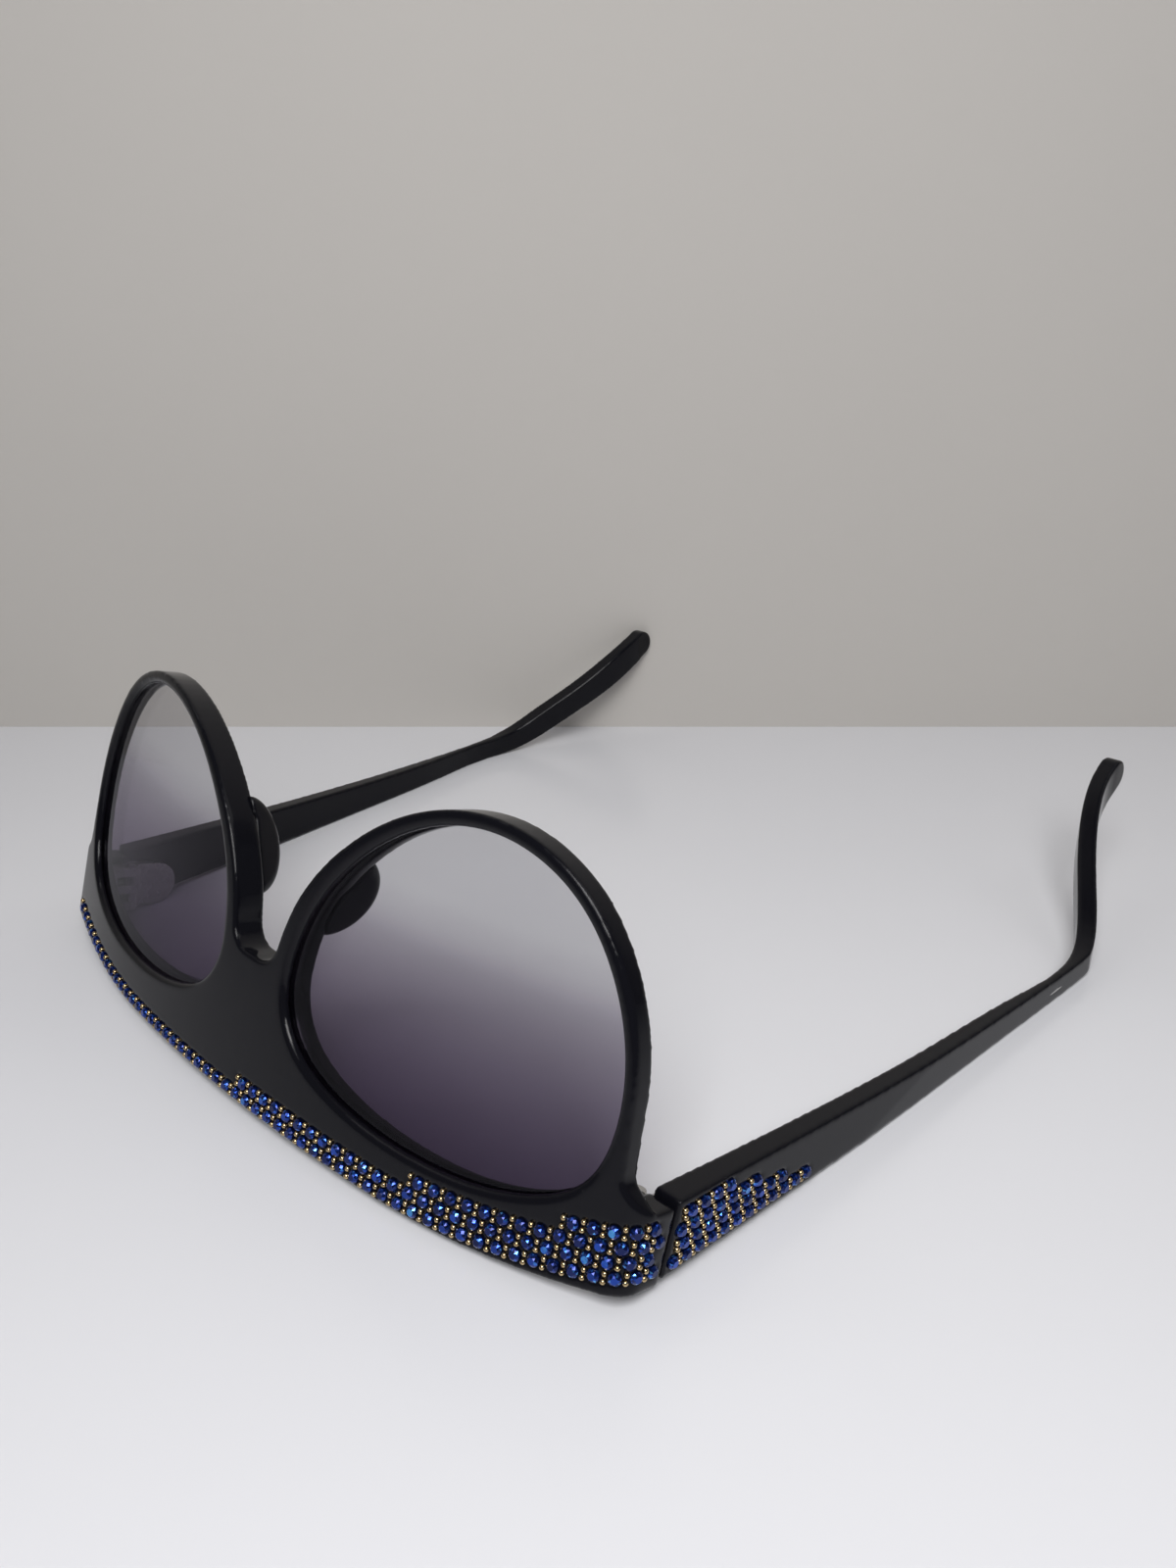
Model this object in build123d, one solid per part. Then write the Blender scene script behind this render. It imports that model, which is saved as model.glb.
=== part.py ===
from build123d import *
import os
from math import asin, cos, degrees, radians, sin, sqrt

# Cat eye sunglasses, lying upside down on the brow and on the temples' upper edges.
# +X is the wearer's right, +Y runs back along the temples, +Z is up as they lie.
# All sizes are in millimetres. The front is built flat on in its own frame (x across,
# y back into the frame, z from the brow edge towards the chin) and is then leaned back.

# Front
lens_width = 54.4          # lens opening at the front face
lens_height = 44.6
bridge_width = 14.3        # between the two lens openings
brow_depth = 6.75          # from the brow edge to the lens opening
rim_width = 1.1            # face of the rim round the opening
nose_growth = 1.15         # how much wider the face is at the nose
rim_depth = 4.8            # plate thickness at the bridge, from front to back
wrap_radius = 241.0        # curve of the front, seen from above
back_radius = 310.0        # flatter curve of its back, so that the plate thins to the sides
lean = 17.4                # angle between the front and a square to the temples
bridge_height = 21.0       # brow edge to the notch between the rims
notch_radius = 3.8
brow_flat = 30.0           # half of the straight part of the brow edge
brow_rise = 4.2            # how far the brow edge climbs by the endpiece
opening_round = 0.9        # rounded edge that runs round the lens opening
opening_points = 48        # points that set the curve of an opening

# Endpieces
endpiece_reach = 5.05      # from the lens opening to the outside of the endpiece
endpiece_wall = 4.2
endpiece_length = 6.3      # from the front surface back to the seam
endpiece_top = 14.2
shoulder_flare = 0.6       # how far the rim's outer side runs out before the endpiece
shoulder_height = 3.0
endpiece_blend = 2.0
corner_radius = 3.6

# Lenses
lens_thickness = 1.4
lens_setback = 1.2         # front of the lens below the front face
groove_depth = 0.7

# Nose pads
pad_height = 14.6
pad_depth = 5.6
pad_thickness = 2.6
pad_centre_height = 33.4
pad_splay = 14.0
pad_round = 1.1
pad_seat = 0.6             # start of the fin, let into the back of the rim

# Hinges
knuckle_radius = 1.5
knuckle_height = 1.5
knuckle_gap = 0.06         # between two neighbouring knuckles
knuckle_count = 5
hinge_clearance = 0.3      # between the barrel and the acetate beside it
hinge_centre_height = 9.0
screw_radius = 0.6
screw_fit = 0.03           # radial running clearance round the screw
screw_head_radius = 1.15
screw_head_height = 0.6
screw_slot = 0.3
hinge_base_width = 4.4
hinge_base_proud = 1.05    # of the back of the front
hinge_base_depth = 1.8
hinge_leaf_length = 7.5
hinge_leaf_thickness = 0.8
hinge_leaf_sink = 0.5
hinge_anchor_radius = 0.7
hinge_anchor_depth = 1.4
seam_gap = 0.15            # between the endpiece and the temple when open

# Temples
shank_length = 95.0        # from the seam to the start of the ear bend
shank_splay = 6.2          # how far the shank leans outwards over its length
tail_reach = 40.0          # from the ear bend to the tip, along Y
tail_rise = 20.5
tail_tuck = 13.5           # how far the tail turns inwards
temple_rear_height = 4.4
temple_rear_thickness = 2.5
tip_height = 6.0
tip_thickness = 3.0
crease_start = 0.40        # share of the shank where the outer crease leaves the lower edge
crease_end = 0.60          # share of the shank where it meets the upper edge
crease_angle = 3.4
core_radius = 0.5
core_inset = 0.35
rest_depth = 0.12          # how much the resting edges are flattened

# Stones and studs
stone_radius = 0.85
stone_height = 0.55        # proud of the surface
stone_sink = 0.4
stone_table = 0.5          # radius of the flat top
stud_radius = 0.4
stud_sink = 0.4
stud_spread = 0.52         # half the distance between the two studs of a pair
stone_pitch = 2.56
row_spacing = 1.9
first_row_height = 1.2
first_row_rise = 5.5
first_stone = -62.2        # arc length along the front of the first stone of the lowest row
row_offsets = (0, 25.5, 39, 47.5)         # pitches from it to the first stone of each row
seam_margin = 1.5
temple_stone_pitch = 2.22
temple_row_spacing = 2.1
temple_row_fall = 0.028                   # drop of a row for each millimetre along the temple
temple_row_counts = (12, 9, 7, 4)
temple_first_row = 2.25                   # above the lower edge at the butt

lens_x = bridge_width / 2 + lens_width / 2
lens_z = brow_depth + lens_height / 2
half_width = bridge_width / 2 + lens_width + endpiece_reach
inner_half = half_width - endpiece_wall


def sagitta(x, radius=wrap_radius):
    """How far a curved surface has gone back at a distance x from the middle."""
    return radius - sqrt(radius ** 2 - x ** 2)


def back_of_plate(x):
    """Where the back of the front lies at a distance x from the middle."""
    return rim_depth + sagitta(x, back_radius)


seam_y = sagitta(half_width) + endpiece_length
axis_x = inner_half - hinge_clearance - knuckle_radius
hinge_base_back = back_of_plate(axis_x) + hinge_base_proud
brow_end = half_width - brow_flat
brow_arc_radius = (brow_end ** 2 + brow_rise ** 2) / (2 * brow_rise)
row_arc_radius = (brow_end ** 2 + first_row_rise ** 2) / (2 * first_row_rise)
front_lift = max(
    back_of_plate(x) * sin(radians(lean))
    - max(abs(x) - brow_flat, 0.0) ** 2 / (2 * brow_arc_radius) * cos(radians(lean))
    for x in range(int(inner_half))
) - rest_depth

# Shape of the lens opening: shares of half the width and half the height, from the nose round.
opening_shape = (
    (-1.0, -0.38), (-0.9, 0.12), (-0.66, 0.53), (-0.3, 0.865), (0.13, 1.0), (0.585, 0.83),
    (0.88, 0.4), (1.0, -0.16), (0.91, -0.64), (0.56, -0.905), (0.0, -1.0), (-0.57, -0.92),
    (-0.895, -0.71),
)


def brow_edge(x):
    """Height of the brow edge above its straight middle part."""
    beyond = max(abs(x) - brow_flat, 0.0)
    return brow_arc_radius - sqrt(brow_arc_radius ** 2 - beyond ** 2)


def opening_face(growth=0.0, nose_growth=0.0):
    """The right lens opening, larger all round by one growth and by another towards the nose."""
    points = [
        (lens_x + a * lens_width / 2, lens_z + b * lens_height / 2)
        for a, b in opening_shape
    ]
    edge = Spline(*points, periodic=True)
    spots = []
    for index in range(opening_points):
        share = index / opening_points
        spot, run = edge @ share, edge % share
        noseward = max((lens_x - spot.X) / (lens_width / 2), 0.0)
        step = growth + nose_growth * noseward ** 2
        spots.append((spot.X - step * run.Y, spot.Y + step * run.X))
    return make_face(Spline(*spots, periodic=True))


def hole_face():
    return opening_face(-opening_round)


def front_face():
    """The front's outline: the deep brow, the bridge and a rim round each opening."""
    brow_arc = ThreePointArc(
        (brow_flat, 0),
        ((brow_flat + half_width) / 2, brow_edge((brow_flat + half_width) / 2)),
        (half_width, brow_rise),
    )
    rim_side = bridge_width / 2 + lens_width + rim_width
    rest = Polyline(
        (half_width, brow_rise), (half_width, endpiece_top),
        (rim_side + shoulder_flare, endpiece_top + shoulder_height),
        (rim_side, lens_z + opening_shape[7][1] * lens_height / 2), (lens_x, lens_z),
        (bridge_width / 2, lens_z), (bridge_width / 2, bridge_height),
        (0, bridge_height), (0, 0), (brow_flat, 0),
    )
    brow = make_face([brow_arc, rest])
    half = brow + opening_face(rim_width, nose_growth)
    whole = half + mirror(half, about=Plane.YZ)
    return whole


def stand(face):
    """Turn a face drawn in x and z so that it can be pushed back along y."""
    return Plane.XZ * face


def slab(face, depth):
    """Push an outline back from in front of the front surface."""
    return extrude(stand(face), -(depth + 5.0)).moved(Location((0, -5.0, 0)))


def drum(radius, front=0.0):
    """An upright cylinder whose foremost line is a given depth behind the front surface."""
    return Location((0, front + radius, lens_z)) * Cylinder(radius, 4 * lens_height)


def outer_corners(outline, height, low_x, high_x):
    """Corners of the outline that lie at a height, between two distances from the middle."""
    return [
        v for v in outline.face().outer_wire().vertices()
        if abs(v.Y - height) < 0.01 and low_x < abs(v.X) < high_x
    ]


def blended_outline():
    """The outline with its notch between the rims and its endpiece shoulders rounded."""
    outline = front_face()
    outline = fillet(outer_corners(outline, bridge_height, 0.5, bridge_width), notch_radius)
    shoulder_level = endpiece_top + shoulder_height
    shoulders = outer_corners(outline, shoulder_level, lens_x, half_width)
    return fillet(shoulders, endpiece_blend)


def plan_outer():
    """Seen from above: the curved front, the rounded corners and the endpieces' sides."""
    front_y = sagitta(half_width)
    profile = make_face([
        ThreePointArc((-half_width, front_y), (0, 0), (half_width, front_y)),
        Polyline((half_width, front_y), (half_width, seam_y), (-half_width, seam_y),
                 (-half_width, front_y)),
    ])
    corners = [v for v in profile.face().outer_wire().vertices() if abs(v.Y - front_y) < 0.01]
    return fillet(corners, corner_radius)


def lens_shell(face, front_depth, thickness):
    """A piece of the curved shell that lies a given depth behind the front surface."""
    rear_depth = front_depth + thickness
    shell = drum(wrap_radius - front_depth, front_depth) - drum(wrap_radius - rear_depth, rear_depth)
    return slab(face, seam_y) & shell


def lens(side):
    edge = opening_face(groove_depth - opening_round)
    piece = lens_shell(edge, lens_setback, lens_thickness)
    return piece if side > 0 else mirror(piece, about=Plane.YZ)


def front_blank():
    """The front before its lenses, hinges and stones are let in."""
    plan = extrude(plan_outer(), 4 * lens_z).moved(Location((0, 0, -lens_z)))
    low_inner = Box(2 * inner_half, 2 * seam_y, 4 * lens_z)
    endpiece_zone = Location((0, 0, endpiece_top)) * Box(
        4 * half_width, 4 * seam_y, 2 * lens_z, align=(Align.CENTER, Align.CENTER, Align.MAX)
    )
    shell = (plan - drum(back_radius, rim_depth)) + ((endpiece_zone & plan) - low_inner)
    hole = slab(hole_face(), seam_y)
    return (slab(blended_outline(), seam_y) & shell) - hole - mirror(hole, about=Plane.YZ)


def on_drum(edge, radius):
    """True for an edge that lies all along a cylinder about the front's wrap axis."""
    spots = [edge.position_at(share) for share in (0.1, 0.5, 0.9)]
    return all(abs(sqrt(p.X ** 2 + (p.Y - wrap_radius) ** 2) - radius) < 0.01 for p in spots)


def rounded_front():
    """The blank with the soft edge that runs down from the face to each lens."""
    blank = front_blank()
    hole_wire = hole_face().face().outer_wire()

    def round_hole(edge):
        spot = edge.position_at(0.5)
        return hole_wire.distance_to(Vertex(abs(spot.X), spot.Z, 0)) < 0.05

    edges = [e for e in blank.edges() if on_drum(e, wrap_radius) and round_hole(e)]
    return fillet(edges, opening_round)


def nose_pad(side, front):
    """A fin glued behind the nose side of a rim, cut to the shape of the rim's back."""
    nose_x = bridge_width / 2 - rim_width - nose_growth + (pad_centre_height - bridge_height) * 0.35
    fin = make_face([
        EllipticalCenterArc((0, 0), pad_height / 2, pad_depth, start_angle=0, arc_size=180),
        Line((-pad_height / 2, 0), (pad_height / 2, 0)),
    ])
    body = extrude(fin, pad_thickness / 2, both=True)
    tips = [e for e in body.edges() if e.geom_type == GeomType.ELLIPSE]
    body = fillet(tips, pad_round)
    lean_in = degrees(asin(0.43))
    inward, upward = sin(radians(lean_in)), cos(radians(lean_in))
    out, back = sin(radians(pad_splay)), cos(radians(pad_splay))
    place = Plane(
        origin=(nose_x + pad_thickness / 2, rim_depth - pad_seat, pad_centre_height),
        x_dir=(inward, 0, upward),
        z_dir=(-upward * back, out, inward * back),
    )
    pad = place * body
    pad = pad if side > 0 else mirror(pad, about=Plane.YZ)
    return pad - front


def upright(radius, height, low):
    return Location((axis_x, seam_y, low)) * Cylinder(
        radius, height, align=(Align.CENTER, Align.CENTER, Align.MIN)
    )


stack_height = knuckle_count * knuckle_height + (knuckle_count - 1) * knuckle_gap
stack_low = hinge_centre_height - stack_height / 2


def knuckle_low(index):
    return stack_low + index * (knuckle_height + knuckle_gap)


def block(low, high):
    """A box between two corners."""
    size = [b - a for a, b in zip(low, high)]
    centre = [(a + b) / 2 for a, b in zip(low, high)]
    return Location(tuple(centre)) * Box(*size)


def drilled(body):
    return body - upright(screw_radius + screw_fit, 3 * stack_height, stack_low - stack_height)


def front_hinge():
    """Sunk base and the outer and middle knuckles."""
    base_x = axis_x - hinge_base_width / 2
    body = block(
        (base_x, hinge_base_back - hinge_base_depth, stack_low),
        (base_x + hinge_base_width, hinge_base_back, stack_low + stack_height),
    )
    for index in range(0, knuckle_count, 2):
        low = knuckle_low(index)
        arm = block(
            (axis_x - knuckle_radius, hinge_base_back - 0.2, low),
            (axis_x + knuckle_radius, seam_y, low + knuckle_height),
        )
        body = body + arm + upright(knuckle_radius, knuckle_height, low)
    return drilled(body)


def temple_hinge():
    """Leaf on the temple's inner face, its anchor and the two knuckles between the front's."""
    leaf_start = seam_y + knuckle_radius + hinge_clearance
    leaf_out = inner_half + hinge_leaf_sink
    leaf_in = leaf_out - hinge_leaf_thickness - hinge_leaf_sink
    middle = stack_low + stack_height / 2
    reach = hinge_leaf_length - stack_height / 2
    leaf = block((leaf_in, leaf_start, stack_low), (leaf_out, leaf_start + reach, stack_low + stack_height))
    nose = Location((leaf_in, leaf_start + reach, middle)) * Rotation(0, 90, 0) * Cylinder(
        stack_height / 2, leaf_out - leaf_in, align=(Align.CENTER, Align.CENTER, Align.MIN)
    )
    anchor = Location((leaf_out - 0.1, leaf_start + reach, middle)) * Rotation(0, 90, 0) * Cylinder(
        hinge_anchor_radius, hinge_anchor_depth, align=(Align.CENTER, Align.CENTER, Align.MIN)
    )
    body = leaf + nose + anchor
    for index in range(1, knuckle_count, 2):
        low = knuckle_low(index)
        arm = block(
            (leaf_in, seam_y, low),
            (inner_half - seam_gap, leaf_start + 0.2, low + knuckle_height),
        )
        body = body + arm + upright(knuckle_radius, knuckle_height, low)
    return drilled(body)


def hinge_screw():
    shank = upright(screw_radius, stack_height, stack_low)
    head = upright(screw_head_radius, screw_head_height, stack_low + stack_height)
    top = stack_low + stack_height + screw_head_height
    slot = Location((axis_x, seam_y, top)) * Box(3 * screw_head_radius, screw_slot, screw_head_height)
    return shank + head - slot


def lean_back(body):
    """Lean a piece of the front back and set it down."""
    return Location((0, 0, front_lift), (-lean, 0, 0)) * body


def place_point(x, y, z):
    """The same for a single point."""
    a = radians(lean)
    return (x, y * cos(a) + z * sin(a), -y * sin(a) + z * cos(a) + front_lift)


# Temples. A station of the temple: where its middle is, which way it runs and its size.


def temple_stations():
    """Middle (x, y, z), rise and turn in degrees, thickness and height from butt to tip."""
    butt = place_point(half_width, seam_y, brow_rise)
    butt_height = endpiece_top - brow_rise
    bend_y = butt[1] + shank_length
    stations = []
    shank = (
        # share of the length, lower edge as a share of the butt's, height as a share of the fall
        (0.30, 0.55, 0.36), (0.60, 0.05, 0.72), (0.84, 0.0, 0.93), (1.0, 0.0, 1.0),
    )
    for share, low, fall in shank:
        height = butt_height + (temple_rear_height - butt_height) * fall
        thickness = endpiece_wall + (temple_rear_thickness - endpiece_wall) * sqrt(share)
        outer = half_width + shank_splay * share
        y = butt[1] + shank_length * share
        stations.append(((outer - thickness / 2, y, butt[2] * low + height / 2), 0, -3,
                         thickness, height))
    end_x = half_width + shank_splay - temple_rear_thickness / 2
    middle = temple_rear_height / 2
    grow = tip_height - temple_rear_height
    tail = (
        # shares of the reach, the rise, the tuck and the growth in height, then rise and turn
        (0.20, 0.045, 0.10, 0.05, 22, 14), (0.40, 0.27, 0.40, 0.2, 43, 22),
        (0.62, 0.56, 0.76, 0.5, 44, 20), (0.82, 0.82, 0.97, 0.9, 40, 6), (0.97, 0.985, 1.0, 0.8, 34, -6),
    )
    for reach, rise, tuck, growth, climb, turn in tail:
        height = temple_rear_height + grow * growth
        stations.append(((end_x - tail_tuck * tuck, bend_y + tail_reach * reach,
                          middle + tail_rise * rise), climb, turn, tip_thickness, height))
    return stations


def temple_edges():
    """Edge points of the temple: lower and upper seen from the side, outer and inner from above."""
    lower, upper, outer, inner = [], [], [], []
    nose = place_point(half_width - endpiece_wall / 2, seam_y - endpiece_length / 2,
                       (brow_rise + endpiece_top) / 2)
    ahead = shank_splay / shank_length * (place_point(0, seam_y, brow_rise)[1] - nose[1])
    nose = (nose[0] - ahead, nose[1], nose[2])
    front = (nose, 0, 0, endpiece_wall, (endpiece_top - brow_rise) / cos(radians(lean)) ** 0.5)
    for (x, y, z), climb, turn, thickness, height in [front] + temple_stations():
        a, b = radians(climb), radians(turn)
        lower.append((y + sin(a) * height / 2, z - cos(a) * height / 2))
        upper.append((y - sin(a) * height / 2, z + cos(a) * height / 2))
        outer.append((x + cos(b) * thickness / 2, y + sin(b) * thickness / 2))
        inner.append((x - cos(b) * thickness / 2, y - sin(b) * thickness / 2))
    return lower, upper, outer, inner


def temple_blank():
    """The temple's side view crossed with its view from above, cut square to the seam."""
    lower, upper, outer, inner = temple_edges()
    middle, climb = temple_stations()[-1][:2]
    a = radians(climb)
    reach = tip_height / 2
    tip = (middle[1] + cos(a) * reach, middle[2] + sin(a) * reach)
    side = make_face([
        Spline(*lower), ThreePointArc(lower[-1], tip, upper[-1]),
        Spline(*reversed(upper)), Line(upper[0], lower[0]),
    ])
    tip_x = middle[0]
    far_end = middle[1] + tip_height
    plan = make_face([
        Spline(*outer), Polyline(outer[-1], (outer[-1][0], far_end), (inner[-1][0], far_end), inner[-1]),
        Spline(*reversed(inner)), Line(inner[0], outer[0]),
    ])
    body = extrude(Plane.YZ * side, 2 * half_width) & extrude(plan, 2 * lens_z, both=True)
    return body - seam_cutter() - ground()


def seam_cutter():
    """Everything in front of the seam."""
    return lean_back(block(
        (0, -2 * seam_y, -lens_z), (2 * half_width, seam_y + seam_gap, 3 * lens_z)
    ))


def crease_cutter():
    """The thinner rear facet: everything outside a plane that hinges on the diagonal crease."""
    butt = place_point(half_width, seam_y, brow_rise)
    low_y = butt[1] + shank_length * crease_start
    high_y = butt[1] + shank_length * crease_end
    low = (half_width + shank_splay * crease_start, low_y, 0)
    high = (half_width + shank_splay * crease_end, high_y,
            endpiece_top - brow_rise + (temple_rear_height - endpiece_top + brow_rise) * 0.68)
    run = Vector(*high) - Vector(*low)
    outward = Vector(1, -shank_splay / shank_length, 0)
    outward = (outward - run * (outward.dot(run) / run.dot(run))).normalized()
    tilted = outward.rotate(Axis((0, 0, 0), tuple(run)), crease_angle)
    plane = Plane(origin=low, x_dir=tuple(run), z_dir=tuple(tilted))
    return plane * Box(4 * shank_length, 4 * shank_length, shank_length,
                       align=(Align.CENTER, Align.CENTER, Align.MIN))


def ground():
    return block((-2 * half_width, -half_width, -lens_z), (2 * half_width, 4 * half_width, 0))


def temple_core():
    """Steel wire that stiffens the temple, from behind the hinge to the ear bend."""
    spots = [
        (x - core_inset, y, z) for (x, y, z), climb, turn, thickness, height in temple_stations()[:5]
    ]
    path = Spline(*spots)
    section = Plane(origin=path @ 0, z_dir=path % 0) * Circle(core_radius)
    return sweep(section, path=path)


# Stones and studs


def front_point(run):
    """Point and outward direction on the front at an arc length from the middle."""
    side = 1 if run >= 0 else -1
    along = abs(run)
    turn_start = asin((half_width - corner_radius) / (wrap_radius - corner_radius))
    face_run = wrap_radius * turn_start
    centre = (
        (wrap_radius - corner_radius) * sin(turn_start),
        wrap_radius - (wrap_radius - corner_radius) * cos(turn_start),
    )
    bend_run = corner_radius * (radians(90) - turn_start)
    if along <= face_run:
        angle = along / wrap_radius
        x, y = wrap_radius * sin(angle), wrap_radius * (1 - cos(angle))
    elif along <= face_run + bend_run:
        angle = turn_start + (along - face_run) / corner_radius
        x, y = centre[0] + corner_radius * sin(angle), centre[1] - corner_radius * cos(angle)
    else:
        angle = radians(90)
        x, y = half_width, centre[1] + along - face_run - bend_run
    return (side * x, y), (side * sin(angle), -cos(angle))


def row_height(x, row):
    beyond = max(abs(x) - brow_flat, 0.0)
    climb = row_arc_radius - sqrt(row_arc_radius ** 2 - beyond ** 2)
    return first_row_height + climb + row * row_spacing


def front_rows():
    """For each row: the planes of its stones and of the studs between them."""
    rows = []
    for row, offset in enumerate(row_offsets):
        stones, studs = [], []
        run = first_stone + offset * stone_pitch
        while front_point(run)[0][1] < seam_y - seam_margin or run < 0:
            stones.append(front_plane(run, row, 0))
            for offset_z in (-stud_spread, stud_spread):
                studs.append(front_plane(run - stone_pitch / 2, row, offset_z))
            run += stone_pitch
        rows.append((stones, studs))
    return rows


def front_plane(run, row, offset_z):
    (x, y), (nx, ny) = front_point(run)
    return Plane(origin=(x, y, row_height(x, row) + offset_z), x_dir=(0, 0, 1), z_dir=(nx, ny, 0))


def temple_rows():
    """Planes of the stones and studs on the right temple's outer face."""
    stones, studs = [], []
    splay = shank_splay / shank_length
    outward = (cos(splay), -sin(splay), 0)
    for row, count in enumerate(temple_row_counts):
        for index in range(count):
            for kind, shift, offset_z in (
                (stones, 0, 0), (studs, -0.5, stud_spread), (studs, -0.5, -stud_spread)
            ):
                back = seam_margin + (index + shift + 0.5 * (row % 2)) * temple_stone_pitch
                height = temple_first_row + row * temple_row_spacing
                if back < stud_radius:
                    continue
                base = place_point(half_width, seam_y + seam_gap, brow_rise)
                lift = height * cos(radians(lean))
                y = base[1] + height * sin(radians(lean)) + back
                x = half_width + splay * (y - base[1])
                z = base[2] + lift + offset_z - back * temple_row_fall
                kind.append(Plane(origin=(x, y, z), x_dir=(0, 0, 1), z_dir=outward))
    return stones, studs


def stone():
    """A round stone: straight below the surface, a cut crown with a flat table above."""
    profile = make_face(Polyline(
        (0, -stone_sink), (stone_radius, -stone_sink), (stone_radius, stone_height * 0.3),
        (stone_table, stone_height), (0, stone_height), (0, -stone_sink),
    ))
    return revolve(Plane.XZ * profile, Axis.Z)


def stud():
    """A pin with a ball head."""
    profile = make_face([
        Polyline((0, stud_radius), (0, -stud_sink), (stud_radius, -stud_sink), (stud_radius, 0)),
        ThreePointArc((stud_radius, 0),
                      (stud_radius * cos(radians(45)), stud_radius * sin(radians(45))),
                      (0, stud_radius)),
    ])
    return revolve(Plane.XZ * profile, Axis.Z)


def set_out(shape, planes):
    return [plane * shape for plane in planes]


def pockets(radius, depth, planes):
    drill = Location((0, 0, -depth)) * Cylinder(
        radius, 3 * depth, align=(Align.CENTER, Align.CENTER, Align.MIN)
    )
    return [plane * drill for plane in planes]


def mirrored(shape):
    return mirror(shape, about=Plane.YZ)


def build():
    nodes = {}
    front = rounded_front()
    lenses = {"right": lens(1), "left": lens(-1)}
    hinge = front_hinge()
    for side, piece in lenses.items():
        nodes["lens_" + side] = piece
    nodes["front_hinge_right"] = hinge
    nodes["front_hinge_left"] = mirrored(hinge)
    front = front - [lenses["right"], lenses["left"], hinge, mirrored(hinge)]
    nodes["nose_pad_right"] = nose_pad(1, front)
    nodes["nose_pad_left"] = mirrored(nodes["nose_pad_right"])
    screw = hinge_screw()
    nodes["hinge_screw_right"] = screw
    nodes["hinge_screw_left"] = mirrored(screw)

    drills = []
    for number, (stones, studs) in enumerate(front_rows(), 1):
        nodes[f"stones_row_{number}"] = Compound(children=set_out(stone(), stones))
        nodes[f"studs_row_{number}"] = Compound(children=set_out(stud(), studs))
        drills += pockets(stone_radius, stone_sink, stones) + pockets(stud_radius, stud_sink, studs)
    nodes["front"] = front - drills
    nodes = {name: lean_back(piece) for name, piece in nodes.items()}
    nodes["front"] = nodes["front"] - ground()

    blank = temple_blank() - crease_cutter()
    core = temple_core()
    hinge = lean_back(temple_hinge())
    temple = blank - [core, hinge]
    stones, studs = temple_rows()
    drills = pockets(stone_radius, stone_sink, stones) + pockets(stud_radius, stud_sink, studs)
    nodes["temple_right"] = temple - drills
    nodes["temple_left"] = mirrored(temple)
    for name, piece in (("temple_core", core), ("temple_hinge", hinge)):
        nodes[name + "_right"] = piece
        nodes[name + "_left"] = mirrored(piece)
    nodes["temple_stones"] = Compound(children=set_out(stone(), stones))
    nodes["temple_studs"] = Compound(children=set_out(stud(), studs))
    return nodes


def centred(nodes):
    """Put the middle of the whole pair over the origin."""
    box = Compound(children=[Compound(piece.solids()) for piece in nodes.values()]).bounding_box()
    shift = Location((0, -(box.min.Y + box.max.Y) / 2, 0))
    return {name: shift * piece for name, piece in nodes.items()}


def main():
    os.makedirs("parts", exist_ok=True)
    for name, piece in centred(build()).items():
        export_step(piece, f"parts/{name}.step")


main()
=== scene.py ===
"""Cat eye sunglasses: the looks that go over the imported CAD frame."""

import math

import bmesh
import bpy
import numpy as np
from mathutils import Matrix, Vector


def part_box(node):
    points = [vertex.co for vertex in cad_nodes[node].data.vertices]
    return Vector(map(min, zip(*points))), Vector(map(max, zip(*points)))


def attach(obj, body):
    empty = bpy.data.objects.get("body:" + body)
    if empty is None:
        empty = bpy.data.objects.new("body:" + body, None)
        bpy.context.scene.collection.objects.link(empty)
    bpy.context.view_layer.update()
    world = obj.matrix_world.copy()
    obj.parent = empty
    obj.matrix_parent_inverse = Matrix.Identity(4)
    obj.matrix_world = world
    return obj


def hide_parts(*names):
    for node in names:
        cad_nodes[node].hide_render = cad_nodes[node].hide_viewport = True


bl_info = {
    "name": "Cat Eye Sunglasses",
    "version": (1, 0, 0),
    "blender": (4, 5, 0),
    "location": "View3D > Sidebar > Sunglasses",
    "description": "Finishes a pair of cat eye sunglasses over its CAD frame",
    "category": "Object",
}

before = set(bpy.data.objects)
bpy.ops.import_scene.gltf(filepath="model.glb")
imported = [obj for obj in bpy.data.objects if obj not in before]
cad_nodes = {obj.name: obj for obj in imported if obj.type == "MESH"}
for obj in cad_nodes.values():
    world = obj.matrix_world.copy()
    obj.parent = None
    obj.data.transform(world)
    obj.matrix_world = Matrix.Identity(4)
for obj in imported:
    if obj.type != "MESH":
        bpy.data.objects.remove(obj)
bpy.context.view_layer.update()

STONE_ROWS = ("stones_row_1", "stones_row_2", "stones_row_3", "stones_row_4")
STUD_ROWS = ("studs_row_1", "studs_row_2", "studs_row_3", "studs_row_4")
FACING = "facing"
# Name of the per-facet level that paints the crystals' shade and glints
FACET_GLINT = "facet_tone"
MERGE_DISTANCE = 2e-7        # between corners that are one corner
CREASE_ANGLE = math.radians(32.0)
KEPT_SHARE = 0.35            # of the triangles of a polished piece
FRONT_COARSENESS = 1.15      # voxel size of the front against that of the smaller pieces
STUD_SIDES = 10
STUD_SEED = 3

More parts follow.
